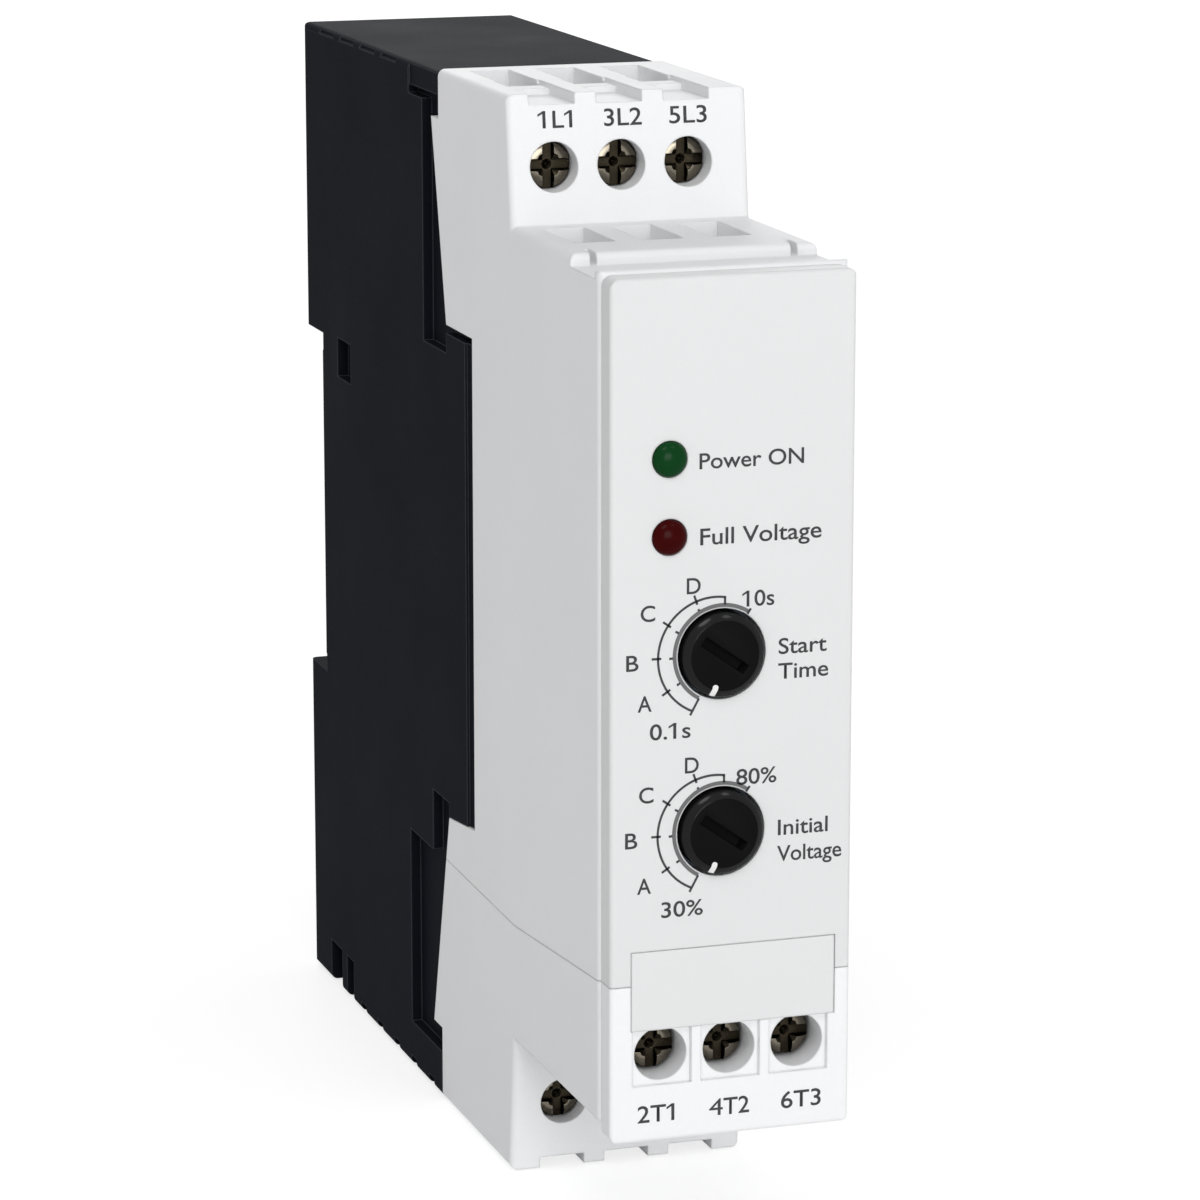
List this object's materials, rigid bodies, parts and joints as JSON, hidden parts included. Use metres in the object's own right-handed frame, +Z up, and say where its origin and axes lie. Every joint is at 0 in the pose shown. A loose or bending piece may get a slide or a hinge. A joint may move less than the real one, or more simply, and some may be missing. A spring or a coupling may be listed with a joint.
{
  "type": "soft starter",
  "caption": "Slim rail-mounted motor soft starter with a black rear housing, white covers, indicator lamps, setting dials and stepped screw terminals.",
  "frame": {"origin": "middle of the bounding box on the plane it stands on", "axes": "+Z up along the front plate, +X to the right seen from the front, front plate faces -Y, rail seat faces +Y"},
  "size_m": [0.0226, 0.1004, 0.1],
  "materials": {
    "housing_black": "fine moulded grain",
    "cover_white": "fine moulded grain",
    "plate_white": "satin, printed",
    "marker_white": "satin",
    "lamp_green": "tinted lens",
    "lamp_red": "tinted lens",
    "knob_black": "satin gloss",
    "pot_grey": "matte",
    "board_green": "lacquered",
    "device_black": "matte",
    "sink_aluminium": "extruded",
    "relay_blue": "matte",
    "capacitor_sleeve": "shrink sleeve",
    "tinned_copper": "tinned",
    "screw_metal": "passivated",
    "cage_steel": "plated",
    "lead_steel": "plated",
    "latch_black": "moulded",
    "spring_steel": "drawn"
  },
  "bodies": {
    "housing": {"rear_housing": "housing_black", "upper_cover": "cover_white", "lower_cover": "cover_white", "front_plate": "plate_white", "marker_plate": "marker_white", "power_lamp": "lamp_green", "voltage_lamp": "lamp_red", "lamp_leads": "lead_steel", "start_time_pot": "pot_grey", "start_voltage_pot": "pot_grey", "front_board": "board_green", "main_board": "board_green", "board_header": "device_black", "upper_terminal_board": "board_green", "lower_terminal_board": "board_green", "heat_sink": "sink_aluminium", "thyristor_1": "device_black", "thyristor_2": "device_black", "bypass_relay": "relay_blue", "capacitor": "capacitor_sleeve", "upper_terminal_bars": "tinned_copper", "front_terminal_bars": "tinned_copper", "lower_terminal_bars": "tinned_copper", "latch_spring": "spring_steel"},
    "start_time_knob": {"start_time_knob": "knob_black"},
    "start_voltage_knob": {"start_voltage_knob": "knob_black"},
    "upper_screw_1": {"upper_screw_1": "screw_metal"},
    "upper_cage_1": {"upper_cage_1": "cage_steel"},
    "upper_screw_2": {"upper_screw_2": "screw_metal"},
    "upper_cage_2": {"upper_cage_2": "cage_steel"},
    "upper_screw_3": {"upper_screw_3": "screw_metal"},
    "upper_cage_3": {"upper_cage_3": "cage_steel"},
    "front_screw_1": {"front_screw_1": "screw_metal"},
    "front_cage_1": {"front_cage_1": "cage_steel"},
    "front_screw_2": {"front_screw_2": "screw_metal"},
    "front_cage_2": {"front_cage_2": "cage_steel"},
    "front_screw_3": {"front_screw_3": "screw_metal"},
    "front_cage_3": {"front_cage_3": "cage_steel"},
    "lower_screw_1": {"lower_screw_1": "screw_metal"},
    "lower_cage_1": {"lower_cage_1": "cage_steel"},
    "lower_screw_2": {"lower_screw_2": "screw_metal"},
    "lower_cage_2": {"lower_cage_2": "cage_steel"},
    "lower_screw_3": {"lower_screw_3": "screw_metal"},
    "lower_cage_3": {"lower_cage_3": "cage_steel"},
    "latch": {"rail_latch": "latch_black"}
  },
  "joints": [
    {"name": "start_time_knob_turn", "type": "hinge", "parent": "housing", "child": "start_time_knob", "pos_m": [-0.001, -0.0493, 0.0549], "axis": [0, 1, 0], "range_deg": [0, 210]},
    {"name": "start_voltage_knob_turn", "type": "hinge", "parent": "housing", "child": "start_voltage_knob", "pos_m": [-0.001, -0.0493, 0.0392], "axis": [0, 1, 0], "range_deg": [0, 210]},
    {"name": "upper_screw_1_turn", "type": "hinge", "parent": "housing", "child": "upper_screw_1", "pos_m": [-0.0071, -0.01738, 0.0935], "axis": [0, 1, 0], "range_deg": [0, 1800]},
    {"name": "upper_cage_1_slide", "type": "slide", "parent": "housing", "child": "upper_cage_1", "axis": [0, -1, 0], "range_m": [0, 0.0025]},
    {"name": "upper_screw_2_turn", "type": "hinge", "parent": "housing", "child": "upper_screw_2", "pos_m": [-0.0008, -0.01738, 0.0935], "axis": [0, 1, 0], "range_deg": [0, 1800]},
    {"name": "upper_cage_2_slide", "type": "slide", "parent": "housing", "child": "upper_cage_2", "axis": [0, -1, 0], "range_m": [0, 0.0025]},
    {"name": "upper_screw_3_turn", "type": "hinge", "parent": "housing", "child": "upper_screw_3", "pos_m": [0.0055, -0.01738, 0.0935], "axis": [0, 1, 0], "range_deg": [0, 1800]},
    {"name": "upper_cage_3_slide", "type": "slide", "parent": "housing", "child": "upper_cage_3", "axis": [0, -1, 0], "range_m": [0, 0.0025]},
    {"name": "front_screw_1_turn", "type": "hinge", "parent": "housing", "child": "front_screw_1", "pos_m": [-0.0063, -0.0441, 0.0195], "axis": [0, 1, 0], "range_deg": [0, 1800]},
    {"name": "front_cage_1_slide", "type": "slide", "parent": "housing", "child": "front_cage_1", "axis": [0, -1, 0], "range_m": [0, 0.0025]},
    {"name": "front_screw_2_turn", "type": "hinge", "parent": "housing", "child": "front_screw_2", "pos_m": [0, -0.0441, 0.0195], "axis": [0, 1, 0], "range_deg": [0, 1800]},
    {"name": "front_cage_2_slide", "type": "slide", "parent": "housing", "child": "front_cage_2", "axis": [0, -1, 0], "range_m": [0, 0.0025]},
    {"name": "front_screw_3_turn", "type": "hinge", "parent": "housing", "child": "front_screw_3", "pos_m": [0.0063, -0.0441, 0.0195], "axis": [0, 1, 0], "range_deg": [0, 1800]},
    {"name": "front_cage_3_slide", "type": "slide", "parent": "housing", "child": "front_cage_3", "axis": [0, -1, 0], "range_m": [0, 0.0025]},
    {"name": "lower_screw_1_turn", "type": "hinge", "parent": "housing", "child": "lower_screw_1", "pos_m": [-0.0063, -0.01729, 0.0065], "axis": [0, 1, 0], "range_deg": [0, 1800]},
    {"name": "lower_cage_1_slide", "type": "slide", "parent": "housing", "child": "lower_cage_1", "axis": [0, -1, 0], "range_m": [0, 0.0025]},
    {"name": "lower_screw_2_turn", "type": "hinge", "parent": "housing", "child": "lower_screw_2", "pos_m": [0, -0.01729, 0.0065], "axis": [0, 1, 0], "range_deg": [0, 1800]},
    {"name": "lower_cage_2_slide", "type": "slide", "parent": "housing", "child": "lower_cage_2", "axis": [0, -1, 0], "range_m": [0, 0.0025]},
    {"name": "lower_screw_3_turn", "type": "hinge", "parent": "housing", "child": "lower_screw_3", "pos_m": [0.0063, -0.01729, 0.0065], "axis": [0, 1, 0], "range_deg": [0, 1800]},
    {"name": "lower_cage_3_slide", "type": "slide", "parent": "housing", "child": "lower_cage_3", "axis": [0, -1, 0], "range_m": [0, 0.0025]},
    {"name": "latch_slide", "type": "slide", "parent": "housing", "child": "latch", "axis": [0, 0, -1], "range_m": [0, 0.0025], "stiffness_N_per_m": 900, "springref_m": -0.002, "deforming": ["latch_spring"]}
  ],
  "couplings": [
    {"joint": "upper_screw_1_turn", "follows": "upper_cage_1_slide", "rad_per_m": 12566},
    {"joint": "upper_screw_2_turn", "follows": "upper_cage_2_slide", "rad_per_m": 12566},
    {"joint": "upper_screw_3_turn", "follows": "upper_cage_3_slide", "rad_per_m": 12566},
    {"joint": "front_screw_1_turn", "follows": "front_cage_1_slide", "rad_per_m": 12566},
    {"joint": "front_screw_2_turn", "follows": "front_cage_2_slide", "rad_per_m": 12566},
    {"joint": "front_screw_3_turn", "follows": "front_cage_3_slide", "rad_per_m": 12566},
    {"joint": "lower_screw_1_turn", "follows": "lower_cage_1_slide", "rad_per_m": 12566},
    {"joint": "lower_screw_2_turn", "follows": "lower_cage_2_slide", "rad_per_m": 12566},
    {"joint": "lower_screw_3_turn", "follows": "lower_cage_3_slide", "rad_per_m": 12566}
  ]
}
